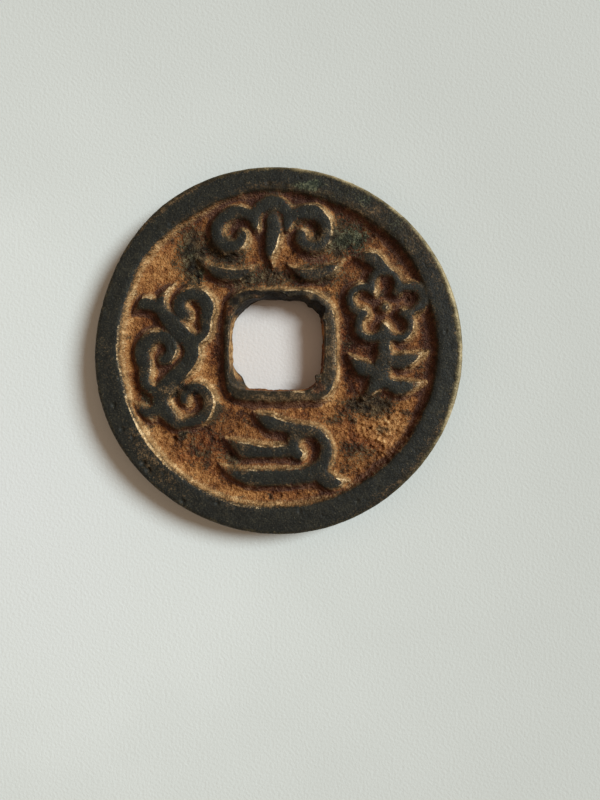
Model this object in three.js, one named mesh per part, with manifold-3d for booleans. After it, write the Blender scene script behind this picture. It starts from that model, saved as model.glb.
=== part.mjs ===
// A large cast bronze cash coin: a round blank with a raised outer rim, a sunken field, a square string
// hole inside its own raised rim, and four raised ornaments on the obverse. The reverse has only its rims.
// It is one casting from a two-part mould, so the whole coin is a single solid.
//
// Sizes are in millimetres, +Z is up, and the obverse faces up. The origin is on the coin's axis, in the
// plane of the reverse rims, which the coin lies on.
import * as THREE from "three";
import { mergeVertices } from "three/addons/utils/BufferGeometryUtils.js";
import Module from "manifold-3d";

// Blank
const COIN_DIAMETER = 45;
const COIN_THICKNESS = 3.6;
const EDGE_DRAFT = 0.1; // how far the filed edge falls back from the parting plane to either face
const EDGE_ROUND = 0.35; // worn round of the coin's two outer corners

// Outer rim and sunken field of each face
const RIM_WIDTH = 3.1; // mean width of the obverse rim's top
const OBVERSE_DEPTH = 1.15; // from the rim's top to the field
const OBVERSE_SHIFT = new THREE.Vector2(-0.4, 0.1); // this half of the mould sat off the blank's centre
const REVERSE_RIM_WIDTH = 3.7;
const REVERSE_DEPTH = 0.6;
const REVERSE_SHIFT = new THREE.Vector2(0.25, -0.2);

// Walls of the relief, shared by the rims and the ornaments
const WALL_LEAN = 0.3; // how far a wall leans back for each millimetre it rises
const CROWN_ROUND = 0.12; // worn round along a raised top
const FOOT_FILLET = 0.2; // where the outer rim's wall runs into the field

// String hole
const HOLE_WIDTH = 11.6; // at the coin's faces
const HOLE_CENTRE = new THREE.Vector2(-0.15, 0.7);
const HOLE_BOW = 0.4; // how far the middle of each side stands out past its ends
const HOLE_CORNERS = [2.8, 3.5, 2.1, 2]; // radii, counter-clockwise from the upper right
const HOLE_DRAFT = 0.12; // how far its walls draw in from either face to the parting plane
const HOLE_LIP = 0.15; // worn lip at its two mouths

// Rims round the hole
const HOLE_RIM_WIDTH = 14.4; // over its foot, obverse
const HOLE_RIM_CENTRE = new THREE.Vector2(0.25, 0.5);
const HOLE_RIM_BOW = 0.35;
const HOLE_RIM_CORNERS = [3.6, 2.6, 2, 2.4];
const HOLE_RIM_DROP = 0.06; // how much lower than the outer rim it stands
const REVERSE_HOLE_RIM_WIDTH = 15;
const REVERSE_HOLE_RIM_CENTRE = new THREE.Vector2(0.05, 0.4);

// Ornaments
const ORNAMENT_DROP = 0.08; // how much lower than the outer rim they stand
const BOLD = 1.32; // half-widths of a stroke at its foot
const PLAIN = 1.06;
const FINE = 0.82;
const TIP = 0.32; // at a pointed end
const BURIED = 0.3; // how far a raised piece's solid runs down into the field

// Facets
const OUTLINE_STEPS = 120;
const SIDE_STEPS = 7; // along each side of the hole and of its rims
const CORNER_STEPS = 7;
const STROKE_STEP = 0.64;
const END_STEPS = 4; // round a stroke's end

// Where filing and casting left an outline off round: the angle, and how far out and how wide each swell is
const EDGE_SWELLS = [
  { at: 72, out: -0.12, spread: 20 },
  { at: 125, out: 0.2, spread: 18 },
  { at: 163, out: -0.2, spread: 14 },
  { at: 208, out: 0.3, spread: 20 },
  { at: 275, out: 0.22, spread: 24 },
  { at: 352, out: 0.2, spread: 25 },
];
const FIELD_SWELLS = [
  { at: 14, out: -0.25, spread: 12 },
  { at: 62, out: -0.45, spread: 16 },
  { at: 147, out: 0.4, spread: 12 },
  { at: 240, out: 0.3, spread: 20 },
  { at: 316, out: -0.25, spread: 14 },
];

const BRONZE = { color: 0x38332a, roughness: 0.55, metalness: 0.8 };

const OBVERSE_FIELD = COIN_THICKNESS - OBVERSE_DEPTH;
const PARTING_PLANE = COIN_THICKNESS / 2;
const FIELD_RADIUS = COIN_DIAMETER / 2 - RIM_WIDTH;

// The ornaments are drawn for a band this wide between the hole's rim and the outer rim
const DRAWN_BAND = 12.2;
const BAND = FIELD_RADIUS - HOLE_RIM_WIDTH / 2;
const ORNAMENT_SCALE = BAND / DRAWN_BAND;

const wasm = await Module();
wasm.setup();

// A three.js geometry as a solid that can be joined and cut.
function solidOf(geometry) {
  geometry.deleteAttribute("normal");
  geometry.deleteAttribute("uv");
  const merged = mergeVertices(geometry, 1e-4);
  return new wasm.Manifold(
    new wasm.Mesh({
      numProp: 3,
      vertProperties: new Float32Array(merged.attributes.position.array),
      triVerts: new Uint32Array(merged.index.array),
    }),
  );
}

// A joined or cut solid as a three.js geometry.
function geometryOf(solid) {
  const mesh = solid.getMesh();
  const geometry = new THREE.BufferGeometry();
  geometry.setAttribute("position", new THREE.BufferAttribute(mesh.vertProperties, 3));
  geometry.setIndex(new THREE.BufferAttribute(mesh.triVerts, 1));
  geometry.computeVertexNormals();
  return geometry;
}

// The solid through a stack of loops of 3D points, lowest first. Every loop has the same number of points
// and runs counter-clockwise seen from above. caps holds the triangles, as point numbers, that close a loop.
function loft(loops, caps) {
  const count = loops[0].length;
  const index = [];
  for (let low = 0; low < (loops.length - 1) * count; low += count) {
    for (let i = 0; i < count; i++) {
      const next = (i + 1) % count;
      index.push(low + i, low + next, low + count + i);
      index.push(low + next, low + count + next, low + count + i);
    }
  }
  const top = (loops.length - 1) * count;
  for (const [a, b, c] of caps) {
    index.push(a, c, b);
    index.push(top + a, top + b, top + c);
  }
  const geometry = new THREE.BufferGeometry().setFromPoints(loops.flat());
  geometry.setIndex(index);
  return solidOf(geometry);
}

// The loft of a flat outline that changes with height. levels holds { z, out }, lowest first, and
// outline(out) gives the outline's points moved outwards by out.
function loftOutline(levels, outline) {
  const caps = THREE.ShapeUtils.triangulateShape(outline(levels[0].out), []);
  const loops = levels.map(({ z, out }) => outline(out).map(({ x, y }) => new THREE.Vector3(x, y, z)));
  return loft(loops, caps);
}

// A circle with a few swells and flats.
function unevenCircle(radius, centre, swells) {
  return Array.from({ length: OUTLINE_STEPS }, (_, i) => {
    const degrees = (i / OUTLINE_STEPS) * 360;
    const uneven = swells.reduce((sum, { at, out, spread }) => {
      const away = THREE.MathUtils.euclideanModulo(degrees - at + 180, 360) - 180;
      return sum + out * Math.exp(-0.5 * (away / spread) ** 2);
    }, radius);
    const angle = THREE.MathUtils.degToRad(degrees);
    return new THREE.Vector2(uneven * Math.cos(angle), uneven * Math.sin(angle)).add(centre);
  });
}

// A square with sides bowed outwards and a radius of its own at each corner.
function bowedSquare(width, bow, corners, centre) {
  const half = width / 2 - bow;
  const points = [];
  corners.forEach((radius, corner) => {
    const start = (corner * Math.PI) / 2;
    for (let i = 0; i <= CORNER_STEPS; i++) {
      const angle = start + (i / CORNER_STEPS) * (Math.PI / 2);
      const middle = new THREE.Vector2(half - radius, half - radius).rotateAround(new THREE.Vector2(), start);
      points.push(middle.add(new THREE.Vector2(Math.cos(angle), Math.sin(angle)).multiplyScalar(radius)));
    }
    const from = points.at(-1);
    const to = new THREE.Vector2(-half + corners[(corner + 1) % 4], half);
    to.rotateAround(new THREE.Vector2(), start);
    for (let i = 1; i < SIDE_STEPS; i++) points.push(from.clone().lerp(to, i / SIDE_STEPS));
  });
  return points.map(({ x, y }) => {
    const bowed = new THREE.Vector2(
      x * (1 + (bow / half) * (1 - (y / half) ** 2)),
      y * (1 + (bow / half) * (1 - (x / half) ** 2)),
    );
    return bowed.add(centre);
  });
}

// Levels of a quarter round of the given size, from its upright start to its flat end.
function quarterRound(size, steps) {
  return Array.from({ length: steps + 1 }, (_, i) => {
    const angle = (i / steps) * (Math.PI / 2);
    return { rise: size * Math.sin(angle), back: size * (1 - Math.cos(angle)) };
  });
}

function blank() {
  const round = quarterRound(EDGE_ROUND, 3);
  const below = round.map(({ rise, back }) => ({ z: EDGE_ROUND - rise, out: -EDGE_DRAFT - back }));
  const above = round.map(({ rise, back }) => ({
    z: COIN_THICKNESS - EDGE_ROUND + rise,
    out: -EDGE_DRAFT - back,
  }));
  return loftOutline([...below.reverse(), { z: PARTING_PLANE, out: 0 }, ...above], (out) =>
    unevenCircle(COIN_DIAMETER / 2 + out, new THREE.Vector2(), EDGE_SWELLS),
  );
}

// The sunken field inside the outer rim, as the solid that is cut away, field at z = 0 and opening upwards.
function fieldRecess(radius, depth, centre, swells) {
  const foot = radius - WALL_LEAN * (depth - CROWN_ROUND);
  const levels = [
    { z: 0, out: foot - FOOT_FILLET },
    { z: FOOT_FILLET * 0.3, out: foot - FOOT_FILLET * 0.3 },
    { z: FOOT_FILLET, out: foot + WALL_LEAN * FOOT_FILLET },
    { z: depth - CROWN_ROUND, out: radius },
    { z: depth, out: radius + CROWN_ROUND },
    { z: depth + 1, out: radius + CROWN_ROUND },
  ];
  return loftOutline(levels, (out) => unevenCircle(out, centre, swells));
}

// The raised rim round the hole, field at z = 0 and rising upwards. The hole is cut through it later.
function holeRim(width, height, centre) {
  const shoulder = height - CROWN_ROUND;
  const levels = [
    { z: -BURIED, out: 0 },
    { z: 0, out: 0 },
    { z: shoulder, out: -WALL_LEAN * shoulder },
    { z: height, out: -WALL_LEAN * shoulder - CROWN_ROUND },
  ];
  return loftOutline(levels, (out) =>
    bowedSquare(
      width + 2 * out,
      HOLE_RIM_BOW,
      HOLE_RIM_CORNERS.map((radius) => radius + out),
      centre,
    ),
  );
}

function stringHole() {
  const levels = [
    { z: -1, out: HOLE_LIP },
    { z: 0, out: HOLE_LIP },
    { z: HOLE_LIP, out: 0 },
    { z: PARTING_PLANE, out: -HOLE_DRAFT },
    { z: COIN_THICKNESS - HOLE_LIP, out: 0 },
    { z: COIN_THICKNESS, out: HOLE_LIP },
    { z: COIN_THICKNESS + 1, out: HOLE_LIP },
  ];
  return loftOutline(levels, (out) =>
    bowedSquare(
      HOLE_WIDTH + 2 * out,
      HOLE_BOW,
      HOLE_CORNERS.map((radius) => radius + out),
      HOLE_CENTRE,
    ),
  );
}

// Part of a spiral, as points every few degrees: about (x, y), from one radius to another, starting at an
// angle and turning through a sweep, both in degrees.
function spiral(x, y, [radiusFrom, radiusTo], start, sweep) {
  const steps = Math.ceil(Math.abs(sweep) / 30);
  return Array.from({ length: steps + 1 }, (_, i) => {
    const radius = THREE.MathUtils.lerp(radiusFrom, radiusTo, i / steps);
    const angle = THREE.MathUtils.degToRad(start + (sweep * i) / steps);
    return [x + radius * Math.cos(angle), y + radius * Math.sin(angle)];
  });
}

// A value part of the way along a list of values at even steps.
function between(values, share) {
  const place = share * (values.length - 1);
  const low = Math.min(Math.floor(place), values.length - 2);
  return THREE.MathUtils.lerp(values[low], values[low + 1], place - low);
}

// One raised stroke with a flat top, leaning walls and round ends, along a smooth line through the points
// given. halves holds its half-widths at even steps. It stands lower where it is thin.
function stroke(line, halves, place) {
  const curve = new THREE.SplineCurve(line.map(([x, y]) => place(x, y)));
  const last = Math.max(3, Math.ceil(curve.getLength() / (STROKE_STEP * ORNAMENT_SCALE)));
  const stations = Array.from({ length: last + 1 }, (_, i) => {
    const ahead = curve.getTangentAt(i / last);
    const half = between(halves, i / last) * ORNAMENT_SCALE;
    return {
      centre: curve.getPointAt(i / last),
      ahead,
      left: new THREE.Vector2(-ahead.y, ahead.x),
      half,
      rise: (OBVERSE_DEPTH - ORNAMENT_DROP) * Math.min(1, 0.4 + (0.6 * half) / (FINE * ORNAMENT_SCALE)),
    };
  });

  // The loop round the stroke at one level: up its right side, round the end, back and round the start.
  function loop(share, back, z) {
    const at = ({ centre, ahead, left, half, rise }, degrees) => {
      const angle = THREE.MathUtils.degToRad(degrees);
      const reach = half - Math.min(back, 0.7 * half);
      const x = centre.x + reach * (ahead.x * Math.cos(angle) + left.x * Math.sin(angle));
      const y = centre.y + reach * (ahead.y * Math.cos(angle) + left.y * Math.sin(angle));
      return new THREE.Vector3(x, y, OBVERSE_FIELD + share * rise + z);
    };
    const turns = Array.from({ length: END_STEPS - 1 }, (_, i) => ((i + 1) / END_STEPS) * 180);
    return [
      ...stations.map((station) => at(station, -90)),
      ...turns.map((turn) => at(stations[last], turn - 90)),
      ...stations.toReversed().map((station) => at(station, 90)),
      ...turns.map((turn) => at(stations[0], turn + 90)),
    ];
  }

  const leftStart = 2 * last + END_STEPS;
  const caps = [];
  for (let i = 0; i < last; i++) {
    caps.push([i, i + 1, leftStart - i]);
    caps.push([i + 1, leftStart - i - 1, leftStart - i]);
  }
  for (let i = 1; i < END_STEPS; i++) {
    caps.push([last, last + i, last + i + 1]);
    caps.push([leftStart, leftStart + i, (leftStart + i + 1) % (leftStart + END_STEPS)]);
  }

  const lean = WALL_LEAN * (OBVERSE_DEPTH - ORNAMENT_DROP - CROWN_ROUND);
  return loft(
    [loop(0, 0, -BURIED), loop(0, 0, 0), loop(1, lean, -CROWN_ROUND), loop(1, lean + CROWN_ROUND, 0)],
    caps,
  );
}

// The ornaments, each a list of strokes [line, half-widths] about its own centre, y towards the coin's top.

// A three-lobed cloud head with facing curls and a drop between them, over two trailing ribbons.
function cloudHead() {
  const strokes = [
    [spiral(0, 2, [2.1, 2.1], 205, -230), [FINE, BOLD, FINE]],
    [[[0.1, 2.2], [0.2, 0.2], [-0.2, -2], [0.1, -3.4]], [PLAIN, BOLD, PLAIN, TIP]],
  ];
  for (const side of [-1, 1]) {
    const curl = spiral(4.6, 0.3, [3.1, 1], 150, -330);
    const ribbon = [[1.9, -3.4], [4, -4.6], [6.5, -4.3], [8.9, -2.7]];
    const mirrored = (line) => line.map(([x, y]) => [side * x, y]);
    strokes.push([mirrored(curl), [FINE, BOLD, PLAIN, PLAIN, PLAIN]]);
    strokes.push([mirrored(ribbon), [TIP, PLAIN, PLAIN, TIP]]);
  }
  return strokes;
}

// A drifting cloud: one large curl that trails three streamers to the left.
function driftingCloud() {
  const curl = spiral(2.7, 0.1, [3.4, 1], 265, 330);
  return [
    [[[-7.8, -2], [-4.8, -3.4], [-1.4, -3.6], ...curl], [TIP, BOLD, BOLD, BOLD, PLAIN, PLAIN, PLAIN]],
    [[[-7, 1.2], [-4.6, -0.1], [-2, -0.4], [1, -0.3]], [TIP, BOLD, PLAIN, PLAIN]],
    [[[-3.6, 4.4], [-1.6, 3.2], [0.6, 2.6], [2.6, 2.2]], [TIP, BOLD, PLAIN, PLAIN]],
    [[[4.2, -2.9], [5.9, -4.1], [8, -3.9]], [PLAIN, BOLD, TIP]],
  ];
}

// A scrolling vine: a winding stem with a hooked shoot in each of its hollows, two leaves and a pointed top.
function scrollingVine() {
  const stem = Array.from({ length: 13 }, (_, i) => {
    const y = -8.8 + (i / 12) * 17.2;
    return [0.4 + 2 * Math.cos((Math.PI * y) / 5.8), y];
  });
  const shoot = [FINE, PLAIN, BOLD, PLAIN, PLAIN];
  return [
    [stem, [PLAIN, BOLD, BOLD, BOLD, BOLD, PLAIN, TIP]],
    [[[-1.5, -5.4], [-3.6, -3.8], ...spiral(-1.6, 0, [2.5, 1], 225, -300)], shoot],
    [[[2.3, 0.9], [4, 2.4], ...spiral(2, 5.4, [2.4, 1], -35, 280)], shoot],
    [[[0.6, -8.7], [1.8, -8.6], ...spiral(2.3, -5.9, [2.5, 1], -70, 260)], [FINE, PLAIN, PLAIN, FINE]],
    [[[-1.5, 5], [-3.4, 6], [-5.4, 5.1]], [FINE, BOLD, TIP]],
    [[[-1.4, -6.6], [-3.2, -7.5], [-5.3, -6.4]], [FINE, BOLD, TIP]],
  ];
}

// A five-petalled blossom on a leafy stem, with a bud leaning over it.
function blossom() {
  const strokes = [[[[-0.4, 2.1], [-0.2, 2.2], [0, 2.3]], [FINE, FINE]]];
  for (let petal = 0; petal < 5; petal++) {
    const outward = 90 + petal * 72;
    const angle = THREE.MathUtils.degToRad(outward);
    const x = -0.2 + 2.8 * Math.cos(angle);
    const y = 2.2 + 2.8 * Math.sin(angle);
    strokes.push([spiral(x, y, [1.6, 1.6], outward - 125, 250), [FINE, FINE]]);
  }
  strokes.push([[[-0.2, -2], [-0.3, -4.2], [-1, -6.8], [-2.8, -9.2]], [PLAIN, BOLD, BOLD, TIP]]);
  strokes.push([[[-0.2, -4.2], [2.2, -4.5], [4.8, -3.2]], [FINE, BOLD, TIP]]);
  strokes.push([[[-0.8, -6.6], [1.8, -7.7], [4.6, -6.9]], [FINE, BOLD, TIP]]);
  strokes.push([[[-0.6, -5.8], [-2.8, -5.3], [-4.6, -3.5]], [FINE, BOLD, TIP]]);
  strokes.push([[[-0.2, 6.6], [-1.6, 8.1], [-3.9, 8.4]], [PLAIN, BOLD, TIP]]);
  return strokes;
}

// Where each ornament's centre is: the side of the hole, how far across the band, and a shift from there
const ORNAMENTS = [
  { draw: cloudHead, side: [0, 1], across: 0.54, shift: [-0.8, 0] },
  { draw: blossom, side: [1, 0], across: 0.49, shift: [0, 3] },
  { draw: driftingCloud, side: [0, -1], across: 0.4, shift: [0.5, 0] },
  { draw: scrollingVine, side: [-1, 0], across: 0.46, shift: [0, -0.3] },
];

function ornamentStrokes() {
  return ORNAMENTS.flatMap(({ draw, side, across, shift }) => {
    const distance = HOLE_RIM_WIDTH / 2 + across * BAND;
    const centre = new THREE.Vector2(...side)
      .multiplyScalar(distance)
      .add(new THREE.Vector2(...shift).multiplyScalar(ORNAMENT_SCALE));
    const place = (x, y) => new THREE.Vector2(x, y).multiplyScalar(ORNAMENT_SCALE).add(centre);
    return draw().map(([line, halves]) => stroke(line, halves, place));
  });
}

// A piece made with its field at z = 0 and facing up, turned over to face down at the reverse field.
function onReverse(solid) {
  return solid.mirror([0, 0, 1]).translate([0, 0, REVERSE_DEPTH]);
}

function coin() {
  const obverseRecess = fieldRecess(FIELD_RADIUS, OBVERSE_DEPTH, OBVERSE_SHIFT, FIELD_SWELLS);
  const reverseRadius = COIN_DIAMETER / 2 - REVERSE_RIM_WIDTH;
  const reverseRecess = fieldRecess(reverseRadius, REVERSE_DEPTH, REVERSE_SHIFT, []);
  let solid = blank()
    .subtract(obverseRecess.translate([0, 0, OBVERSE_FIELD]))
    .subtract(onReverse(reverseRecess));

  const obverseRim = holeRim(HOLE_RIM_WIDTH, OBVERSE_DEPTH - HOLE_RIM_DROP, HOLE_RIM_CENTRE);
  const reverseRim = holeRim(REVERSE_HOLE_RIM_WIDTH, REVERSE_DEPTH, REVERSE_HOLE_RIM_CENTRE);
  solid = solid.add(obverseRim.translate([0, 0, OBVERSE_FIELD])).add(onReverse(reverseRim));

  for (const raised of ornamentStrokes()) solid = solid.add(raised);
  return solid.subtract(stringHole());
}

const castCoin = new THREE.Mesh(geometryOf(coin()), new THREE.MeshStandardMaterial(BRONZE));
castCoin.name = "cast_coin";

const group = new THREE.Group();
group.name = "coin";
group.add(castCoin);

export default group;
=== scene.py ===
"""The looks of a large cast bronze cash coin: a dark patina on its worn rims and raised work, old gilding
in the grainy sunken field, and the paper it lies on. Lengths are in millimetres until the mesh is made."""
import math

import bpy
import numpy as np
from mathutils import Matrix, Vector
from mathutils.bvhtree import BVHTree


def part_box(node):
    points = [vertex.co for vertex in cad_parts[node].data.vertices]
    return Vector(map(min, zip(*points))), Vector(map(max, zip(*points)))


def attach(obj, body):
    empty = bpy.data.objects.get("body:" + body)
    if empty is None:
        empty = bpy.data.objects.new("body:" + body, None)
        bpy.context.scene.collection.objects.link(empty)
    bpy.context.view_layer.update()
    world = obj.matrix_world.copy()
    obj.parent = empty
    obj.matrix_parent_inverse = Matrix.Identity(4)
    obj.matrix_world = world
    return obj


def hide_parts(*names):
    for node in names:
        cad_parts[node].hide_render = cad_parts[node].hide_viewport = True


MM = 0.001
HOLE, LIP, FACE, CORNER, EDGE = range(5)  # parts of the coin's surface

# Camera, over the coin and a little to its lower right
UNDER_CAMERA = (2.67, -6.16)  # the point of the coin's top that is straight under it
CAMERA_HEIGHT = 74.0  # above the coin's top
LENS = 27.4  # focal length
NEAREST_SEEN = 1  # the camera sees nothing nearer than this

# Light: a broad cool lamp and a faint warm sky, which together light a level surface white
LEVEL_LIGHT = 0.964
SKY_SHARE = np.array([0.325, 0.24, 0.18])
SUN_AZIMUTH, SUN_ELEVATION = 23, 40
SUN_SIZE = 23  # degrees across

# Paper: its colours in linear numbers, by how far it is from its brightest point, as a share of PAPER_REACH.
# This is a painted pool of light: the paper is lighter near that point and darker away from it.
PAPER = [
    (0.0, (0.725, 0.742, 0.705, 1.0)),
    (0.33, (0.707, 0.728, 0.68, 1.0)),
    (0.5, (0.668, 0.689, 0.64, 1.0)),
    (0.9, (0.61, 0.629, 0.582, 1.0)),
]
PAPER_BRIGHTEST = (-34, -18)
PAPER_REACH = 84
PAPER_INSIDE = (0.74, 0.7, 0.655, 1.0)  # seen through the hole: painted warm light, as bounced from the bronze around it
INSIDE_REACH = (6, 15)  # the radii over which that colour ends, under the coin
PAPER_WIDTH = 1200
PAPER_GAP = 0.02  # between the paper and the coin

# Noise
TABLE_SIZE = 8192  # a power of two
SCATTER = np.array([73856093, 19349663, 83492791])  # large numbers, which spread the cells over the table
TURN = np.array([[0.36, 0.48, -0.8], [-0.8, 0.6, 0.0], [0.48, 0.64, 0.6]])  # a turn about a slanted axis

# Maps of the CAD solid's faces
MAP_STEP = 0.06
REACH = 23.1  # half of a map's width
FELT = (5, 22)  # the radii between which heights are felt
ABOVE = 10  # where the rays that feel the heights start
OUTSIDE = 30  # where the rays that feel the edge start
SUNK = 0.3  # all of the field is lower than this under the rims, and no top is
SOFTENED = 0.07  # how far the relief's sharp edges are blurred
WEAR_REACH = 0.4  # how far from a wall the tops are worn and the field is filled
HOLLOW_REACH = 0.6  # how far from a wall dirt lies in the field
GLOW_REACH = 0.9  # how far from a wall the gilding is painted lighter on its side toward the lamp, as painted light, and darker on the other, as painted shade
GLOW_GAIN = 2.5

# Grid of the finished surface
COLUMNS = 960
FACE_ROWS = {1: 150, -1: 56}  # across the obverse and the reverse
WALL_ROWS = 6  # over half the height of the edge and of the hole's wall
ROUND_ROWS = 5  # round the lip of the hole and round the outer corner

# Shape of the worn edges
HOLE_CENTRE = np.array([-0.15, 0.7])
HOLE_DRAFT = 0.12
LIP_WIDTH, LIP_DEPTH = 0.25, 0.3
EDGE_DRAFT = 0.1
CORNER_WIDTH, CORNER_DEPTH = 0.5, 0.42
LAMP_SIDE = np.array([0.92, 0.38])  # the side that faces the lamp: the relief's colours are painted lighter toward it, as painted light, and darker away from it, as painted shade
TOP_WEAR = 0.4  # how far the tops' edges are rounded, 0 to 1
FOOT_FILL = 0.85  # how far the feet of the walls are filled, 0 to 1
WANDER = 0.13  # how far the relief's outlines stray

# How much wider the obverse's rim is than the solid's, by the angle in degrees. The change grows over
# WIDER_FROM and ends over WIDER_TO, which are radii.
WIDER_FROM, WIDER_TO = (17.2, 18.8), (22.2, 20.8)
RIM_WIDER = [
    (0, -0.5),
    (40, -0.62),
    (55, -0.45),
    (70, -0.22),
    (110, 0.18),
    (135, 0.44),
    (160, 0.53),
    (180, 0.36),
    (192, 0.5),
    (240, 0.34),
    (270, 0.14),
    (302, -0.16),
    (320, -0.46),
    (338, -0.34),
    (350, -0.42),
]

# Marks on the obverse: x, y, how far they spread along x and y, and their strength
STAINS = [
    (-10.7, 11.2, 1.5, 3.2, 1.0),
    (-6.6, 12.2, 2.6, 2.0, 0.85),
    (-2.4, 8.7, 3.6, 1.3, 0.85),
    (4.4, 9.4, 3.4, 1.2, 0.75),
    (7.2, 13.7, 3.0, 1.9, 1.0),
    (1.8, 16.2, 2.4, 1.4, 0.6),
    (11.2, -6.9, 2.7, 1.2, 1.0),
    (6.8, -8.4, 1.4, 0.7, 0.6),
    (9.8, -12.5, 2.3, 1.4, 0.55),
    (5.4, -14.0, 1.6, 0.8, 0.6),
    (-13.2, -5.0, 1.1, 0.7, 1.0),
    (-5.4, -3.2, 0.5, 1.0, 0.9),
    (-8.0, -7.6, 0.9, 1.3, 0.9),
    (-11.6, -10.7, 0.8, 0.6, 0.9),
    (-9.4, -12.4, 1.6, 0.8, 0.6),
    (-5.8, -13.3, 0.9, 0.7, 0.8),
]

# Where the gilding is darker, and then where it is brighter, as for the marks above. Some darker marks are
# painted shadow beside the rims' shaded side.
DEEP = [
    (-3.6, -8.0, 4.6, 1.0, 0.7),
    (8.7, -0.6, 0.9, 5.8, 1.1),
    (-7.9, 1.6, 0.5, 4.6, 0.7),
    # painted shadow beside the upper rim
    (6.0, 18.2, 8.0, 0.8, 1.0),
    (13.6, 13.0, 1.8, 2.6, 0.8),
    # painted shadow beside the right rim
    (17.9, 3.0, 0.7, 7.0, 0.8),
    (9.2, 4.4, 0.8, 3.4, 0.9),
    (8.8, -12.4, 3.0, 1.6, 0.6),
    (-9.4, -11.6, 2.6, 2.2, 0.5),
    (14.0, 7.6, 4.4, 3.0, 0.4),
    (13.6, -1.0, 3.4, 3.0, 0.35),
    (3.4, -15.4, 4.4, 1.2, 0.3),
    (-6.2, 14.8, 4.0, 1.4, 0.5),
]
BRIGHT = [
    (-15.0, 10.8, 2.2, 3.0, 0.62),
    (-11.2, 7.6, 1.2, 1.8, 0.8),
    (-18.3, -1.0, 0.8, 7.5, 0.7),
    (-15.4, -10.4, 1.8, 3.0, 0.8),
    (-12.0, -14.6, 2.0, 1.6, 0.8),
    (-8.6, -4.6, 0.8, 2.2, 0.6),
    (-5.0, -16.2, 3.6, 1.4, 0.6),
    (13.6, -10.4, 3.0, 2.6, 1.3),
    (-2.0, -17.4, 6.0, 0.8, 0.3),
    (6.6, 16.9, 3.2, 0.7, 0.6),
    (11.4, 13.2, 1.4, 1.2, 0.5),
    (4.6, -3.4, 0.5, 0.4, 0.6),
    (0.4, -6.5, 5.4, 0.7, 1.8),
]

# Green spots, as for the marks above
VERDIGRIS = [
    (3.8, 19.9, 1.5, 0.7, 1.0),
    (8.8, 13.6, 2.4, 1.5, 0.9),
    (10.4, 18.2, 1.6, 0.7, 0.6),
    (14.4, 15.2, 1.2, 1.2, 0.5),
    (8.6, 19.2, 5.0, 1.8, 0.4),
    (15.8, 13.6, 2.4, 4.0, 0.34),
    (-16.4, -6.0, 1.1, 0.9, 0.8),
    (-10.9, 11.6, 1.2, 2.4, 0.6),
    (-9.9, 9.0, 0.8, 1.1, 0.75),
    (-3.2, 8.8, 2.2, 0.8, 0.45),
    (12.2, -7.2, 1.0, 0.6, 0.4),
]

# Black scale, as for the marks above
SCALE = [
    (-3.2, 6.9, 1.2, 0.5, 1.0),
    (-0.8, 7.1, 0.8, 0.4, 0.8),
    (1.6, 6.7, 1.6, 0.4, 0.9),
    (4.7, 5.3, 0.7, 1.0, 1.0),
    (-5.6, 6.2, 0.6, 0.5, 0.6),
    (-11.6, -4.6, 0.5, 0.4, 0.8),
    (-10.2, -5.0, 0.4, 0.3, 0.8),
    (-9.6, 8.9, 0.4, 0.9, 0.7),
    (0.4, 9.6, 0.5, 0.4, 0.5),
    (6.6, 13.9, 0.7, 0.4, 0.6),
    (9.0, 12.6, 0.5, 0.4, 0.6),
    (11.0, -6.8, 0.7, 0.3, 0.6),
    (-11.0, 12.8, 0.7, 0.6, 0.5),
    (-10.3, 10.2, 0.7, 1.1, 0.6),
    (-8.4, 12.6, 1.0, 0.5, 0.4),
    (-4.0, 9.2, 0.9, 0.4, 0.7),
    (2.6, 9.1, 0.8, 0.4, 0.6),
    (-11.8, -10.6, 0.3, 0.3, 0.7),
]

# Coarse grain, as for the marks above
SANDY = [
    (13.2, -10.6, 4.2, 3.6, 1.0),
    (8.0, -15.8, 5.0, 2.2, 0.8),
    (-1.0, -17.4, 7.0, 1.0, 0.5),
    (-12.4, -12.4, 3.0, 2.6, 0.4),
    (8.6, -7.6, 3.0, 1.0, 0.4),
]

# Brown on the raised work, as for the marks above
TOP_BROWN = [
    (4.6, 9.3, 3.0, 0.8, 0.6),
    (5.0, 14.4, 2.0, 2.0, 0.5),
    (-6.4, 9.4, 2.4, 0.7, 0.5),
    (11.7, 11.4, 1.4, 1.5, 0.6),
    (13.4, 5.2, 2.6, 2.8, 0.55),
    (13.0, -1.4, 3.4, 1.6, 0.5),
    (-8.4, -6.4, 1.8, 1.3, 0.8),
    (-13.6, -5.4, 1.6, 0.9, 0.6),
    (-13.6, 7.2, 1.2, 0.9, 0.5),
    (2.6, -10.2, 2.4, 0.8, 0.7),
    (-6.0, -11.8, 2.0, 0.8, 0.8),
    (6.6, -15.2, 2.4, 0.9, 0.5),
]

# Rust, as for the marks above
RUST = [
    (4.8, -4.4, 0.6, 0.5, 1.0),
    (-6.2, 4.8, 0.6, 0.8, 0.8),
    (-2.2, 7.0, 0.8, 0.4, 0.6),
    (-6.2, -5.4, 0.5, 0.4, 0.6),
]

# Small pits from the casting: x, y, radius, depth
HOLLOWS = [
    (-20.0, -6.8, 0.3, 0.2),
    (-19.0, -9.7, 0.28, 0.18),
    (-17.7, -10.7, 0.24, 0.16),
    (-16.4, -13.8, 0.34, 0.28),
    (-15.8, -14.7, 0.32, 0.26),
    (-11.6, -18.5, 0.3, 0.24),
    (-7.4, -18.7, 0.28, 0.2),
    (-19.3, -3.5, 0.24, 0.1),
    (-12.8, -11.0, 0.3, 0.4),
    (9.6, -18.5, 0.24, 0.12),
    (18.7, -14.3, 0.24, 0.12),
    (-5.8, -12.9, 0.28, 0.2),
    (2.6, -19.6, 0.22, 0.1),
    (-13.0, 15.3, 0.26, 0.1),
    (-1.2, 20.2, 0.3, 0.12),
    (15.8, -2.4, 0.26, 0.16),
    (20.4, 2.2, 0.2, 0.1),
]

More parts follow.
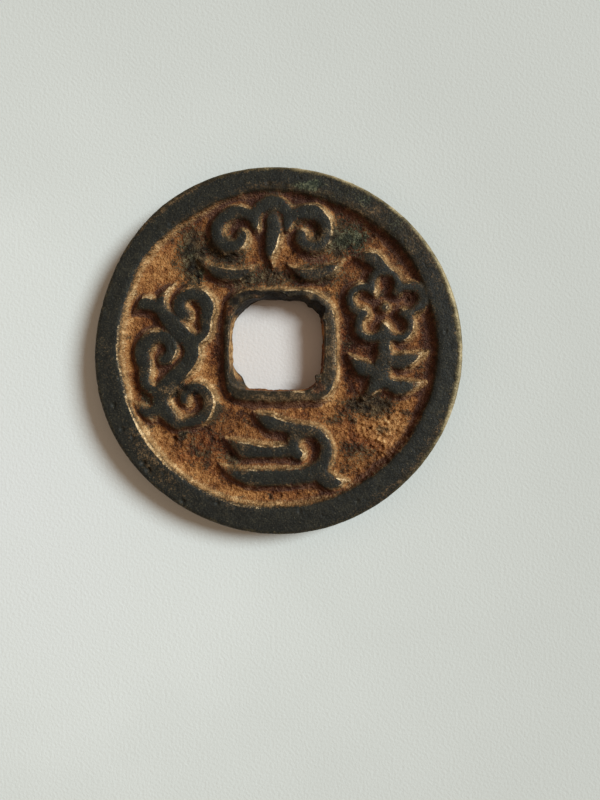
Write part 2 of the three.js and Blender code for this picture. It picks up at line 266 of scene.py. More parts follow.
# Marks on the outer rim: the angle, the radius, how far they spread along each, and their strength
RIM_BROWN = [
    (84, 19.7, 16, 0.7, 1.0),
    (52, 19.6, 16, 0.9, 1.0),
    (20, 19.4, 12, 0.5, 0.6),
    (222, 20.6, 13, 1.2, 0.55),
    (112, 22.3, 40, 0.35, 1.0),
    (186, 20.9, 16, 1.6, 0.3),
    (36, 22.0, 30, 0.5, 0.9),
    (46, 20.9, 22, 1.4, 0.7),
    (252, 19.4, 12, 0.6, 0.5),
    (322, 22.2, 22, 0.7, 0.8),
    (120, 19.6, 12, 0.5, 0.6),
]

# Where the rim's inner wall is rubbed bright, as for the marks above. They lie only where it faces the lamp,
# and so are partly painted highlight.
RIM_WORN = [
    (182, 19.6, 12, 0.6, 0.62),
    (215, 19.6, 18, 0.6, 0.85),
    (256, 19.6, 20, 0.6, 0.5),
]

# Where the hole's wall is broken out, or flash stands in from it: the angle, its spread, and how far out the
# wall lies at the obverse and at the reverse
HOLE_CHIPS = [
    (93, 8, 0.5, 0.0),
    (44, 12, 0.45, 0.0),
    (135, 9, 0.25, -0.15),
    (221, 9, 0.45, -0.85),
    (320.5, 3.4, -0.8, 0.1),
    (300, 5, 0.15, 0.0),
    (52, 2.6, -0.35, -0.3),
    (37, 2.2, 0.3, 0.25),
    (29, 2.6, -0.3, -0.2),
    (75, 3, -0.2, -0.1),
    (109, 4, -0.2, 0.1),
    (15, 6, 0.0, 0.25),
    (190, 10, 0.1, 0.2),
]

# Colours of the coin's layers as seen on a screen, 0 to 255, each at its place from dark to light
COLOURS = {
    "gilding": [
        (0.1, (44, 26, 17)),
        (0.27, (82, 50, 29)),
        (0.42, (124, 78, 40)),
        (0.58, (156, 105, 58)),
        (0.76, (188, 136, 80)),
        (0.95, (232, 188, 130)),
    ],
    "reddish": [(0.2, (56, 25, 12)), (0.45, (108, 57, 29)), (0.7, (168, 104, 58))],
    # pale gold, also painted highlight on walls that face the lamp
    "pale_gold_and_highlight": [(0.12, (90, 65, 38)), (0.32, (138, 105, 65)), (0.5, (178, 140, 92)), (0.7, (236, 198, 142))],
    "stained": [(0.24, (26, 26, 19)), (0.42, (48, 43, 31)), (0.54, (72, 62, 44)), (0.7, (124, 104, 72))],
    "worked": [(0.15, (42, 34, 22)), (0.4, (66, 53, 36)), (0.65, (118, 94, 62))],
    # dirt, also painted shade on walls that face away from the lamp
    "dirt_and_shade": [(0.15, (54, 33, 26)), (0.4, (78, 51, 41)), (0.65, (108, 74, 56))],
    "brown": [(0.16, (30, 26, 17)), (0.38, (50, 42, 28)), (0.52, (74, 58, 38)), (0.68, (126, 100, 68))],
    "green": [(0.2, (22, 28, 20)), (0.44, (50, 58, 43)), (0.65, (106, 112, 86))],
    "metal": [(0.15, (96, 72, 42)), (0.4, (160, 126, 82)), (0.65, (236, 206, 158))],
    "dark": [(0.3, (26, 27, 23)), (0.5, (37, 37, 32)), (0.68, (51, 49, 39))],
    "scoured": [(0.35, (60, 53, 37)), (0.6, (96, 85, 58)), (0.85, (166, 149, 112)), (1.0, (222, 206, 166))],
    "rust": [(0.2, (40, 22, 14)), (0.42, (80, 50, 31)), (0.65, (146, 100, 64))],
    # black scale, also painted shade on the hole's upper walls
    "black": [(0.2, (14, 11, 9)), (0.45, (26, 22, 16)), (0.65, (56, 48, 34))],
}
# pale specks, painted glints
SPARKLE = (130, 120, 92)


def smoothstep(low, high, value):
    share = np.clip((value - low) / (high - low), 0, 1)
    return share * share * (3 - 2 * share)


def lumps(points, size, seed):
    """Smooth noise from -1 to 1 at points of three coordinates, with lumps about size across."""
    table = np.random.default_rng(seed).uniform(-1, 1, TABLE_SIZE)
    scaled = points / size
    cell = np.floor(scaled).astype(np.int64)
    part = scaled - cell
    part = part * part * (3 - 2 * part)
    total = np.zeros(len(points))
    for corner in range(8):
        step = np.array([corner & 1, corner >> 1 & 1, corner >> 2 & 1])
        key = np.bitwise_xor.reduce((cell + step) * SCATTER, axis=1)
        key = (key ^ (key >> 13)) & (TABLE_SIZE - 1)
        total += table[key] * np.prod(np.where(step, part, 1 - part), axis=1)
    return total


def fractal(points, size, seed, octaves=3):
    """Lumps of several sizes, each half as big and half as strong as the last, and turned away from it."""
    total = np.zeros(len(points))
    for i in range(octaves):
        points = points @ TURN
        total += lumps(points, size / 2**i, seed + i) / 2**i
    return total / 1.6


def blur(grid, radius):
    """A map blurred by a Gaussian of the given deviation."""
    reach = int(math.ceil(2.5 * radius / MAP_STEP))
    weights = np.exp(-0.5 * (np.arange(-reach, reach + 1) * MAP_STEP / radius) ** 2)
    weights /= weights.sum()
    for axis in (0, 1):
        grid = sum(weight * np.roll(grid, k - reach, axis) for k, weight in enumerate(weights))
    return grid


def sample(grid, x, y):
    """A map's values at points between its own."""
    column = np.clip((x + REACH) / MAP_STEP, 0, grid.shape[1] - 1.001)
    row = np.clip((y + REACH) / MAP_STEP, 0, grid.shape[0] - 1.001)
    i, j = column.astype(int), row.astype(int)
    u, v = column - i, row - j
    low = grid[j, i] * (1 - u) + grid[j, i + 1] * u
    high = grid[j + 1, i] * (1 - u) + grid[j + 1, i + 1] * u
    return low * (1 - v) + high * v


def height_map(tree, flush, facing):
    """Heights seen from above (facing 1) or below (facing -1). Past the metal it is flush with the rims."""
    axis = np.arange(-REACH, REACH + MAP_STEP / 2, MAP_STEP)
    grid = np.full((len(axis), len(axis)), flush)
    ahead = Vector((0, 0, -facing))
    for j, y in enumerate(axis):
        for i, x in enumerate(axis):
            if FELT[0] ** 2 < x * x + y * y < FELT[1] ** 2:
                hit = tree.ray_cast((x, y, ABOVE * facing), ahead)[0]
                if hit:
                    grid[j, i] = hit.z
    return grid


def outline(tree, centre, height, spokes, start):
    """Distances from centre to the wall, felt from the inside (start 0) or from start outside."""
    distances = []
    for x, y in spokes:
        out = Vector((x, y, 0))
        middle = Vector((*centre, height))
        hit = tree.ray_cast(middle + out * start, -out if start else out)[0]
        distances.append((hit - middle).length)
    return np.array(distances)


def spots(points, marks, seed):
    """Ragged patches at the marks, each as strong as its mark."""
    x_shift, y_shift = (0.9 * fractal(points, 1.5, seed + i) for i in (0, 10))
    total = np.zeros(len(points))
    for x, y, across, along, strength in marks:
        far = ((points[:, 0] + x_shift - x) / across) ** 2 + ((points[:, 1] + y_shift - y) / along) ** 2
        total = np.maximum(total, strength * np.exp(-0.5 * far))
    return total


def slope(relief):
    """How steep a map is, and how far it faces the lamp's side."""
    rise_y, rise_x = np.gradient(relief, MAP_STEP)
    return np.hypot(rise_x, rise_y), -(rise_x * LAMP_SIDE[0] + rise_y * LAMP_SIDE[1])


class Face:
    """One face's height and relief, worn round. Relief is 0 in the sunken field and 1 on the rims."""

    def __init__(self, tree, top, facing):
        self.facing = facing
        self.rows = FACE_ROWS[facing]
        self.flush = top if facing > 0 else 0.0
        depths = np.abs(height_map(tree, self.flush, facing) - self.flush)
        depth = np.median(depths[depths > SUNK])
        relief = 1 - depths / depth
        crisp, soft = blur(relief, SOFTENED), blur(relief, WEAR_REACH)
        worn = crisp + FOOT_FILL * np.maximum(soft - crisp, 0)
        worn -= TOP_WEAR * np.maximum(crisp - soft, 0)
        self.height = self.flush - facing * depth * (1 - worn)
        self.relief = worn
        self.crest = crisp - soft
        self.hollow = blur(relief, HOLLOW_REACH) - crisp
        self.steep, self.toward = slope(worn)
        # painted light on the lamp's side of the raised work, and painted shade on the other
        self.painted_shading = slope(blur(relief, GLOW_REACH))[1] * GLOW_REACH * GLOW_GAIN


def half_section(face, middle, spokes, hole, edge):
    """Rings of points over one face, from the hole's mid-height to the edge's. Each point has its x, y, z,
    part, relief, crest, hollow, how steep it is, how far it faces the lamp's side, and its painted light
    and shade. Off the face its relief is 1 and the other five are 0."""
    degrees = np.degrees(np.arctan2(spokes[:, 1], spokes[:, 0]))
    wider = np.interp(degrees, *zip(*RIM_WIDER), period=360) * (face.facing > 0)
    chips = np.zeros(COLUMNS)
    for at, spread, over, under in HOLE_CHIPS:
        out = over if face.facing > 0 else under
        chips += out * np.exp(-0.5 * (((degrees - at + 180) % 360 - 180) / spread) ** 2)

    def hole_ring(out, height=1.0):
        return HOLE_CENTRE + spokes * (hole + out + chips * height**1.5)[:, None]

    def edge_ring(out):
        return spokes * (edge + out)[:, None]

    def ring(flat, height, part, marks=(1.0, 0.0, 0.0, 0.0, 0.0, 0.0)):
        return np.column_stack([flat, *np.broadcast_arrays(height, part, *marks, flat[:, 0])[:-1]])

    inner, outer = hole_ring(HOLE_DRAFT + LIP_WIDTH), edge_ring(-EDGE_DRAFT - CORNER_WIDTH)
    lip, shoulder = (sample(face.height, at[:, 0], at[:, 1]) for at in (inner, outer))
    lip_foot, shoulder_foot = lip - face.facing * LIP_DEPTH, shoulder - face.facing * CORNER_DEPTH
    turns = np.arange(ROUND_ROWS) / ROUND_ROWS * math.pi / 2
    rings = []
    for share in np.arange(WALL_ROWS) / WALL_ROWS:
        rings.append(ring(hole_ring(HOLE_DRAFT * share, share), middle + (lip_foot - middle) * share, HOLE))
    for turn in turns:
        flat = hole_ring(HOLE_DRAFT + LIP_WIDTH * (1 - math.cos(turn)))
        rings.append(ring(flat, lip_foot + (lip - lip_foot) * math.sin(turn), LIP))
    for share in np.linspace(0, 1, face.rows):
        flat = inner + (outer - inner) * share
        at = np.column_stack([flat, np.full(COLUMNS, face.flush)])
        from_axis = np.linalg.norm(flat, axis=1)
        slip = wider * smoothstep(*WIDER_FROM, from_axis) * smoothstep(*WIDER_TO, from_axis)
        x, y = (flat[:, i] + spokes[:, i] * slip + WANDER * fractal(at, 1.5, 40 + 10 * i) for i in (0, 1))
        maps = (face.relief, face.crest, face.hollow, face.steep, face.toward, face.painted_shading)
        rings.append(ring(flat, sample(face.height, x, y), FACE, [sample(grid, x, y) for grid in maps]))
    for turn in turns[::-1]:
        flat = edge_ring(-EDGE_DRAFT - CORNER_WIDTH * (1 - math.cos(turn)))
        rings.append(ring(flat, shoulder_foot + (shoulder - shoulder_foot) * math.sin(turn), CORNER))
    for share in np.arange(WALL_ROWS)[::-1] / WALL_ROWS:
        rings.append(ring(edge_ring(-EDGE_DRAFT * share), middle + (shoulder_foot - middle) * share, EDGE))
    return rings


def section(node):
    """The whole surface as rings, in order round the coin's section."""
    points = [v.co / MM for v in node.data.vertices]
    node.data.calc_loop_triangles()
    tree = BVHTree.FromPolygons(points, [tuple(t.vertices) for t in node.data.loop_triangles])
    top = max(point.z for point in points)
    turn = np.arange(COLUMNS) / COLUMNS * 2 * math.pi
    spokes = np.column_stack([np.cos(turn), np.sin(turn)])
    hole = outline(tree, HOLE_CENTRE, top / 2, spokes, 0)
    edge = outline(tree, (0, 0), top / 2, spokes, OUTSIDE)
    over, under = (half_section(Face(tree, top, facing), top / 2, spokes, hole, edge) for facing in (1, -1))
    return np.array(over + under[-2:0:-1])


def outward(places):
    """Unit normals of a surface of closed rings."""
    along = np.roll(places, -1, axis=0) - np.roll(places, 1, axis=0)
    around = np.roll(places, -1, axis=1) - np.roll(places, 1, axis=1)
    normal = np.cross(along, around)
    return normal / np.linalg.norm(normal, axis=2, keepdims=True)


def rim_spots(points, marks, seed):
    """Ragged patches, as spots makes them, at marks that are given by angle and radius."""
    turn = np.degrees(np.arctan2(points[:, 1], points[:, 0])) + 6 * fractal(points, 2.0, seed)
    radius = np.hypot(points[:, 0], points[:, 1]) + 0.5 * fractal(points, 1.0, seed + 10)
    total = np.zeros(len(points))
    for angle, out, across, along, strength in marks:
        far = ((turn - angle + 180) % 360 - 180) / across
        total = np.maximum(total, strength * np.exp(-0.5 * (far**2 + ((radius - out) / along) ** 2)))
    return total


class Surface:
    """What is known of each point of the rings, and the noise that its shape and its marks share."""

    def __init__(self, rings):
        self.places = rings[:, :, :3]
        self.flat = self.places.reshape(-1, 3)
        self.part, self.relief, self.crest, self.hollow, self.steep, self.toward, self.painted_shading = (
            rings[:, :, i].ravel() for i in range(3, 10)
        )
        self.faced = self.part == FACE
        self.bored = (self.part == HOLE) | (self.part == LIP)
        self.x, self.y, self.height = self.flat.T
        self.turn = np.arctan2(self.y, self.x)
        self.from_axis = np.hypot(self.places[:, :, 0], self.places[:, :, 1])
        self.middle = self.height.max() / 2
        self.over = self.height > self.middle  # the obverse's half of the surface
        self.grain = fractal(self.flat, 0.3, 100, 2)
        self.clods = fractal(self.flat, 1.1, 105)
        self.swell = fractal(self.flat, 3.6, 110, 2)
        self.pits = smoothstep(0.38, 0.6, fractal(self.flat, 0.7, 120, 2))
        self.nodules = smoothstep(0.5, 0.72, fractal(self.flat, 0.9, 125, 2))
        self.stain = np.where(self.over, spots(self.flat, STAINS, 200), smoothstep(0.0, 0.5, self.swell))
        self.sandy = spots(self.flat, SANDY, 330) * self.over


def cast(on):
    """The points moved along their normals: rough as cast in the field and the hole, and smooth elsewhere."""
    rough = (0.1 + 0.3 * on.sandy) * on.grain + 0.14 * on.clods + 0.08 * on.swell - 0.16 * on.pits
    rough += 0.12 * on.nodules
    rough *= 1 - 0.5 * smoothstep(0.05, 0.23, on.hollow)
    rough += smoothstep(0.3, 0.7, on.stain) * (0.2 * fractal(on.flat, 0.65, 115, 2) + 0.05)
    smooth = 0.014 * (on.grain - 1) + 0.03 * (on.clods - 1) - 0.05 * on.pits
    for x, y, radius, depth in HOLLOWS:
        far = ((on.x - x) ** 2 + (on.y - y) ** 2) / radius**2
        pit = depth * np.exp(-(far**2)) * on.over
        smooth -= pit
        rough -= pit
    raised = smoothstep(0.45, 0.85, on.relief)
    out = np.where(on.faced, rough * (1 - raised) + smooth * raised, smooth)

    filed = np.column_stack([on.turn * 2.5, on.height * 4, np.hypot(on.x, on.y)])
    scratched = smooth + 0.015 * (lumps(filed, 0.5, 130) - 1)
    out = np.where((on.part == EDGE) | (on.part == CORNER), scratched, out)

    fin = np.exp(-0.5 * ((on.height - on.middle - 0.2 * on.swell) / 0.16) ** 2)
    wall = 0.13 * fractal(on.flat, 0.9, 140) + 0.05 * on.grain + 0.16 * fin * (0.6 + lumps(on.flat, 1.1, 150))
    out = np.where(on.bored, wall * np.where(on.part == HOLE, 1, 0.5), out)
    return on.places + outward(on.places) * out.reshape(on.places.shape[:2])[:, :, None]


def bare_metal_and_highlight(on, facing_lamp, near_rim):
    """How far the relief's edges are worn to the metal, and the coin's own edge, both more where they face
    the lamp, which paints a highlight there too.
    """
    scuffed = smoothstep(-0.25, 0.35, fractal(on.flat, 2.2, 170))
    # worn to the metal on the crests, most on those that face the lamp: partly painted highlight
    wear_and_highlight = smoothstep(0.14, 0.21, on.crest) * (0.1 + 0.8 * facing_lamp) * (0.45 + 0.55 * scuffed)
    wear_and_highlight *= 1 - 0.7 * near_rim
    wear_and_highlight = np.maximum(wear_and_highlight, rim_spots(on.flat, RIM_WORN, 250) * smoothstep(0.09, 0.17, on.crest) * on.over)
    wear_and_highlight = np.where(on.faced, wear_and_highlight, 0.0)
    # the lower lip, which catches the lamp, is worn more: partly painted highlight
    lip_wear_and_highlight = 0.5 + 0.4 * smoothstep(3.0, 5.0, HOLE_CENTRE[1] - on.y)
    wear_and_highlight = np.where(on.part == LIP, lip_wear_and_highlight * scuffed, wear_and_highlight)

    lit_side = smoothstep(0.0, 0.85, np.cos(on.turn - math.radians(30)))
    filed_most = smoothstep(0.85, 0.97, np.cos(on.turn - math.radians(5)))
    inset = (on.from_axis.max(axis=0) - on.from_axis).ravel() - 0.25 * filed_most
    # more on the side of the coin that faces the lamp: partly painted highlight
    bared_and_highlight = smoothstep(1.1, 0.1, inset + 0.2 * fractal(on.flat, 0.8, 185)) * (0.4 + 0.6 * lit_side)
    bared_and_highlight = np.where(on.part == EDGE, 0.4 * scuffed, bared_and_highlight * (0.8 + 0.2 * lumps(on.flat, 1.6, 180)))
    return wear_and_highlight, bared_and_highlight


def dirt_and_painted_shade(on, facing_lamp, near_rim):
    """How much dirt lies at the walls' feet, more on their shaded sides as painted shade, with painted shade
    on the walls that face away from the lamp and on the upper walls of the hole.
    """
    # painted shade: dark on walls that face away from the lamp, and more dirt on the shaded sides of the feet
    shaded_wall = smoothstep(0.25, 0.7, on.steep) * (1 - facing_lamp) * (1 - 0.3 * near_rim)
    foot = smoothstep(0.05, 0.23, on.hollow + 0.05 * on.clods) * (1 - 0.75 * facing_lamp)
    foot = np.where(on.faced, np.maximum(foot * (1 - 0.6 * on.sandy), shaded_wall), 0.0)
    # painted shade on the hole's upper walls, which face away from the lamp
    upper_wall = smoothstep(2.0, 5.0, on.y - HOLE_CENTRE[1] + on.clods)
    return np.where(on.bored, upper_wall, foot)


def brown_places(on):
    """Brown on the outer rim, round the hole, on the raised work and on the relief's slopes."""
    out_of_hole = np.linalg.norm(on.places[:, :, :2] - HOLE_CENTRE, axis=2)
    hole_rim = smoothstep(2.3, 1.5, (out_of_hole - out_of_hole.min(axis=0)).ravel() + 0.4 * on.clods)
    slopes = 1 - smoothstep(0.8, 0.95, on.relief + 0.1 * on.clods)
    return np.maximum.reduce([
        rim_spots(on.flat, RIM_BROWN, 240),
        1.2 * hole_rim,
        spots(on.flat, TOP_BROWN, 340) * on.over,
        np.where(on.faced, 0.7 * slopes, 0.0),
    ])


def marks_of(on):
    """Each point's marks, by the names that the material reads."""
    # how far each point faces the lamp; the painted light and shade below follow it
    facing_lamp = smoothstep(-0.5, 0.5, on.toward / (on.steep + 0.05))
    near_rim = smoothstep(17.8, 18.6, on.from_axis.ravel())
    wear_and_highlight, bared_and_highlight = bare_metal_and_highlight(on, facing_lamp, near_rim)
    foot = dirt_and_painted_shade(on, facing_lamp, near_rim)
    # painted highlight on walls that face the lamp
    lit_flank = np.where(on.faced, smoothstep(0.15, 1.0, on.steep) * facing_lamp, 0.0)
    # painted light and shade beside the walls, weaker near the outer rim
    painted_shading = 0.9 * on.painted_shading * (1 - 0.6 * near_rim)
    # In the hole, the left wall, which faces the lamp, is painted pale gold as painted light, the upper
    # walls, which face away from it, are painted dark as painted shade, and the lower left wall is dark
    left_wall = smoothstep(-0.3, -3.3, on.x) * smoothstep(-4.4, -2.6, on.y)
    lower_left = smoothstep(-3.4, -4.4, on.x) * smoothstep(-2.6, -4.4, on.y)
    # tone holds painted light and shade: the painted light and shade beside the walls, and the painted
    # shadows among the darker marks
    tone = spots(on.flat, BRIGHT, 260) - spots(on.flat, DEEP, 280) + painted_shading - 0.1
    return {
        # in the hole, painted shade on the upper walls, and the lower left wall dark
        "relief": np.where(on.part == HOLE, np.maximum(foot, lower_left), on.relief),
        "wear_and_highlight": wear_and_highlight,
        "bared_and_highlight": bared_and_highlight,
        "foot": foot,
        "lit_flank": np.where(on.part == HOLE, left_wall, lit_flank),
        "grain": np.clip(0.5 + (0.6 + 0.5 * on.sandy) * on.grain - 0.5 * on.pits + 0.4 * on.nodules, 0, 1),
        "sandy": on.sandy,
        "tone": np.where(on.over, tone, 0.3 * on.swell) + 0.3 * on.swell + 0.25 * on.clods,
        "stain": on.stain,
        # black scale, and painted shade on the hole's upper walls
        "scale_and_shade": spots(on.flat, SCALE, 300) * on.over + np.where(on.part == HOLE, 0.8 * foot, 0.0),
        "rust": spots(on.flat, RUST, 320) * on.over,
        "verdigris": spots(on.flat, VERDIGRIS, 220) * on.over,
        "brown": brown_places(on),
    }


def mesh_of(name, places, marks):
    """A mesh of closed rings of points in millimetres, with a value of each mark at each point."""
    rows, columns = places.shape[:2]
    number = np.arange(rows * columns).reshape(rows, columns)
    ahead = np.roll(number, -1, axis=0)
    quads = np.stack([number, ahead, np.roll(ahead, -1, axis=1), np.roll(number, -1, axis=1)], axis=2)
    mesh = bpy.data.meshes.new(name)
    mesh.from_pydata((places.reshape(-1, 3) * MM).tolist(), [], quads.reshape(-1, 4).tolist())
    mesh.shade_smooth()
    for mark, values in marks.items():
        mesh.attributes.new(mark, "FLOAT", "POINT").data.foreach_set("value", values.astype(np.float32))
    return mesh


def srgb(red, green, blue):
    """A colour as seen on a screen, 0 to 255, as the shader's linear numbers."""
    return tuple(((c / 255 + 0.055) / 1.055) ** 2.4 for c in (red, green, blue)) + (1.0,)


class Shading:
    """Short names for the shader nodes that the materials are made of."""

    def __init__(self, name):
        self.material = bpy.data.materials.new(name)
        self.material.use_nodes = True
        self.tree = self.material.node_tree
        self.shader = self.tree.nodes["Principled BSDF"]
        self.place = self.tree.nodes.new("ShaderNodeTexCoord").outputs["Object"]

    def plug(self, socket, value):
        if isinstance(value, bpy.types.NodeSocket):
            self.tree.links.new(value, socket)
        else:
            socket.default_value = value

    def mark(self, name):
        node = self.tree.nodes.new("ShaderNodeAttribute")
        node.attribute_name = name
        return node.outputs["Fac"]

    def far(self, x, y):
        """The distance from a point of the paper, in millimetres."""
        node = self.tree.nodes.new("ShaderNodeVectorMath")
        node.operation = "DISTANCE"
        self.tree.links.new(self.place, node.inputs[0])
        node.inputs[1].default_value = (x * MM, y * MM, 0)
        return self.maths("DIVIDE", node.outputs["Value"], MM)

    def noise(self, size, detail):
        node = self.tree.nodes.new("ShaderNodeTexNoise")
        self.tree.links.new(self.place, node.inputs["Vector"])
        node.inputs["Scale"].default_value = 1 / (size * MM)
        node.inputs["Detail"].default_value = detail
        return node.outputs["Fac"]

    def maths(self, operation, *values):
        node = self.tree.nodes.new("ShaderNodeMath")
        node.operation = operation
        for socket, value in zip(node.inputs, values):
            self.plug(socket, value)
        return node.outputs[0]

    def weigh(self, *terms):
        """The sum of values, each times its weight. A plain number may stand for a value."""
        total = None
        for value, weight in terms:
            part = self.maths("MULTIPLY", value, weight)
            total = self.maths("ADD", total, part) if total else part
        return total

    def spread(self, value, low, high, to_low=0.0, to_high=1.0):
        node = self.tree.nodes.new("ShaderNodeMapRange")
        node.interpolation_type = "SMOOTHSTEP"
        for socket, number in zip(node.inputs, (value, low, high, to_low, to_high)):
            self.plug(socket, number)
        return node.outputs[0]

    def ramp(self, value, *stops):
        node = self.tree.nodes.new("ShaderNodeValToRGB")
        self.plug(node.inputs[0], value)
        while len(node.color_ramp.elements) < len(stops):
            node.color_ramp.elements.new(1.0)
        for element, (at, colour) in zip(node.color_ramp.elements, stops):
            element.position = at
            element.color = colour
        return node.outputs[0]

    def mix(self, share, low, high):
        node = self.tree.nodes.new("ShaderNodeMix")
        node.data_type = "RGBA"  # its sockets follow those of the other types
        self.plug(node.inputs[0], share)
        self.plug(node.inputs[6], low)
        self.plug(node.inputs[7], high)
        return node.outputs[2]

    def bump(self, height, distance, strength=1.0):
        node = self.tree.nodes.new("ShaderNodeBump")
        self.plug(node.inputs["Height"], height)
        node.inputs["Distance"].default_value = distance * MM
        self.plug(node.inputs["Strength"], strength)
        self.plug(self.shader.inputs["Normal"], node.outputs[0])


def coin_material():
    s = Shading("worn_gilt_bronze")
    grit, fine, middling = s.noise(0.16, 1.0), s.noise(0.32, 3.0), s.noise(1.0, 3.0)
    coarse, wide = s.noise(1.8, 4.0), s.noise(3.6, 3.0)
    speck = s.spread(s.noise(0.19, 1.0), 0.36, 0.64)
    relief, tone, edge = (s.mark(name) for name in ("relief", "tone", "bared_and_highlight"))
    ragged = s.weigh((fine, 1.0), (speck, 0.25), (-0.62, 1.0))

    def patch(mark, low, high, rag=0.8):
        """Where a mark is strong, with a ragged edge."""
        return s.spread(s.weigh((mark, 1.0), (ragged, rag)), low, high)

    def layer(name, value):
        return s.ramp(value, *((at, srgb(*colour)) for at, colour in COLOURS[name]))

    lumpy = s.spread(middling, 0.35, 0.65)
    mottle = s.weigh((speck, 0.16), (fine, 0.3), (s.mark("grain"), 0.22), (lumpy, 0.2))
    # tone, with its painted light and shade, lightens or darkens the gilding, and half as much the pale gold
    # and the brown
    shade = s.weigh((mottle, 1.0), (tone, 0.2), (0.045, 1.0))
    half_shade = s.weigh((mottle, 1.0), (tone, 0.1))
    pale_gold_and_highlight, stained = layer("pale_gold_and_highlight", half_shade), layer("stained", mottle)

    redder = s.weigh((wide, 1.0), (tone, -0.1), (s.mark("sandy"), 0.08))
    colour = s.mix(s.spread(redder, 0.5, 0.68, 0.0, 0.75), layer("gilding", shade), layer("reddish", shade))
    # pale gold where tone is high, which holds painted light
    colour = s.mix(s.spread(s.weigh((tone, 1.0), (wide, 1.0)), 0.9, 1.9, 0.0, 0.25), colour, pale_gold_and_highlight)
    colour = s.mix(s.spread(s.weigh((coarse, 1.0), (fine, 0.4)), 0.78, 0.88, 0.0, 0.75), colour, stained)
    # dirt at the walls' feet, with painted shade on their shaded sides
    colour = s.mix(s.weigh((patch(s.mark("foot"), 0.15, 0.6), 0.9)), colour, layer("dirt_and_shade", mottle))
    # painted highlight: pale gold on walls that face the lamp and on the hole's left wall
    colour = s.mix(s.weigh((patch(s.mark("lit_flank"), 0.1, 0.9), 0.7)), colour, pale_gold_and_highlight)
    colour = s.mix(s.weigh((patch(s.mark("stain"), 0.34, 0.62, 1.1), 0.9)), colour, stained)

    colour = s.mix(s.weigh((patch(relief, 0.6, 0.76), 0.7)), colour, layer("worked", mottle))
    patina = s.weigh((speck, 0.2), (fine, 0.3), (middling, 0.5))
    colour = s.mix(patch(relief, 0.7, 0.82, 0.5), colour, layer("dark", patina))
    raised = s.weigh((patch(relief, 0.5, 0.7), 0.8))
    browned = s.maths("MULTIPLY", patch(s.mark("brown"), 0.25, 0.8), raised)
    colour = s.mix(browned, colour, layer("brown", half_shade))

    colour = s.mix(s.weigh((patch(s.mark("verdigris"), 0.35, 0.8), 0.7)), colour, layer("green", mottle))
    # the coin's edge worn to the metal, partly painted highlight on the lamp's side
    bared_and_highlight = patch(edge, 0.15, 0.5, 0.4)
    colour = s.mix(s.weigh((bared_and_highlight, 0.9)), colour, layer("scoured", s.weigh((edge, 0.75), (mottle, 0.5))))
    # bare metal on the worn crests, partly painted highlight where they face the lamp
    worn = patch(s.mark("wear_and_highlight"), 0.35, 0.75, 0.5)
    colour = s.mix(s.weigh((worn, 0.85)), colour, layer("metal", mottle))
    colour = s.mix(s.weigh((patch(s.mark("rust"), 0.3, 0.7), 0.7)), colour, layer("rust", mottle))
    # black scale, and painted shade on the hole's upper walls
    colour = s.mix(patch(s.mark("scale_and_shade"), 0.3, 0.6), colour, layer("black", mottle))
    # painted glints: pale specks scattered over the coin
    sparkle = s.spread(s.weigh((grit, 1.0), (relief, -0.04)), 0.66, 0.72, 0.0, 0.5)
    colour = s.mix(sparkle, colour, srgb(*SPARKLE))

    s.plug(s.shader.inputs["Base Color"], colour)
    s.plug(s.shader.inputs["Metallic"], s.weigh((worn, 0.4), (bared_and_highlight, 0.3), (0.1, 1.0)))
    s.plug(s.shader.inputs["Roughness"], s.weigh((patch(relief, 0.6, 0.9), -0.2), (fine, 0.2), (0.66, 1.0)))
    s.shader.inputs["Specular IOR Level"].default_value = 0.17
    s.bump(s.weigh((speck, 0.2), (fine, 0.8)), 0.34, s.spread(relief, 0.5, 0.9, 1.0, 0.26))
    return s.material


def paper_material():
    s = Shading("plain_paper")
    dimmed = s.weigh((s.far(*PAPER_BRIGHTEST), 1 / PAPER_REACH), (s.noise(14.0, 5.0), 0.3), (-0.15, 1.0))
    sheet = s.ramp(dimmed, *PAPER)
    # painted warm light on the paper under the hole, as bounced from the bronze
    under_coin = s.spread(s.far(0, 0), *INSIDE_REACH)
    s.plug(s.shader.inputs["Base Color"], s.mix(under_coin, PAPER_INSIDE, sheet))
    s.shader.inputs["Roughness"].default_value = 0.9
    s.shader.inputs["Specular IOR Level"].default_value = 0.2
    s.bump(s.noise(0.36, 3.0), 0.05)
    return s.material


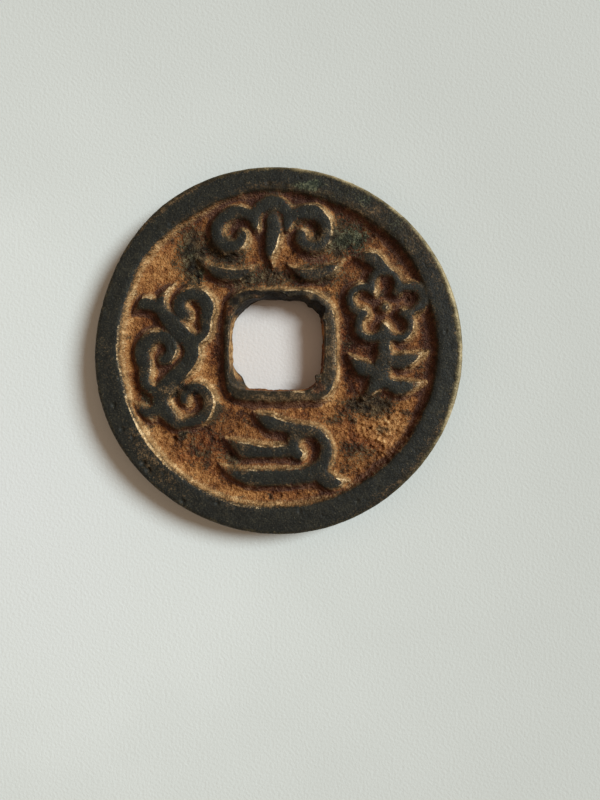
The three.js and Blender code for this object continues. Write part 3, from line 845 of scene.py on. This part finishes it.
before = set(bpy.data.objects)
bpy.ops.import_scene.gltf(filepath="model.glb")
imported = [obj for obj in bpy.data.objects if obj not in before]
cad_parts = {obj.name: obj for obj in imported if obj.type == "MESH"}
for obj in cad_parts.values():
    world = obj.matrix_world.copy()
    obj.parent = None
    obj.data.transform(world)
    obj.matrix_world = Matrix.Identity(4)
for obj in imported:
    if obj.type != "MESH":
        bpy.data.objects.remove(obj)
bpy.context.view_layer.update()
cad_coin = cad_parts["cast_coin"]

surface = Surface(section(cad_coin))
lowest, highest = (np.array(corner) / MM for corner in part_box("cast_coin"))
places = np.clip(cast(surface), lowest, highest)
coin = bpy.data.objects.new("coin", mesh_of("coin", places, marks_of(surface)))
coin.data.materials.append(coin_material())
bpy.context.scene.collection.objects.link(coin)
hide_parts("cast_coin")
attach(coin, "root")

bpy.ops.mesh.primitive_plane_add(size=PAPER_WIDTH * MM, location=(0, 0, -PAPER_GAP * MM))
paper = bpy.context.object
paper.name = "paper"
paper.data.materials.append(paper_material())

world = bpy.data.worlds.new("studio")
world.use_nodes = True
sky = world.node_tree.nodes["Background"]
sky.inputs["Color"].default_value = (*SKY_SHARE / SKY_SHARE.max(), 1)
sky.inputs["Strength"].default_value = LEVEL_LIGHT * SKY_SHARE.max()
bpy.context.scene.world = world

sun = bpy.data.objects.new("sun", bpy.data.lights.new("sun", "SUN"))
azimuth, elevation = math.radians(SUN_AZIMUTH), math.radians(SUN_ELEVATION)
level = math.cos(elevation)
towards = Vector((math.cos(azimuth) * level, math.sin(azimuth) * level, math.sin(elevation)))
sun_light = LEVEL_LIGHT * (1 - SKY_SHARE) * math.pi / math.sin(elevation)
sun.data.energy = sun_light.max()
sun.data.color = sun_light / sun_light.max()
sun.data.angle = math.radians(SUN_SIZE)
sun.rotation_euler = towards.to_track_quat("Z", "Y").to_euler()
bpy.context.scene.collection.objects.link(sun)

camera = bpy.data.objects.new("camera", bpy.data.cameras.new("camera"))
camera.data.lens = LENS
camera.data.clip_start = NEAREST_SEEN * MM
camera.location = (UNDER_CAMERA[0] * MM, UNDER_CAMERA[1] * MM, (highest[2] + CAMERA_HEIGHT) * MM)
bpy.context.scene.collection.objects.link(camera)
bpy.context.scene.camera = camera

bpy.context.scene.view_settings.view_transform = "Standard"
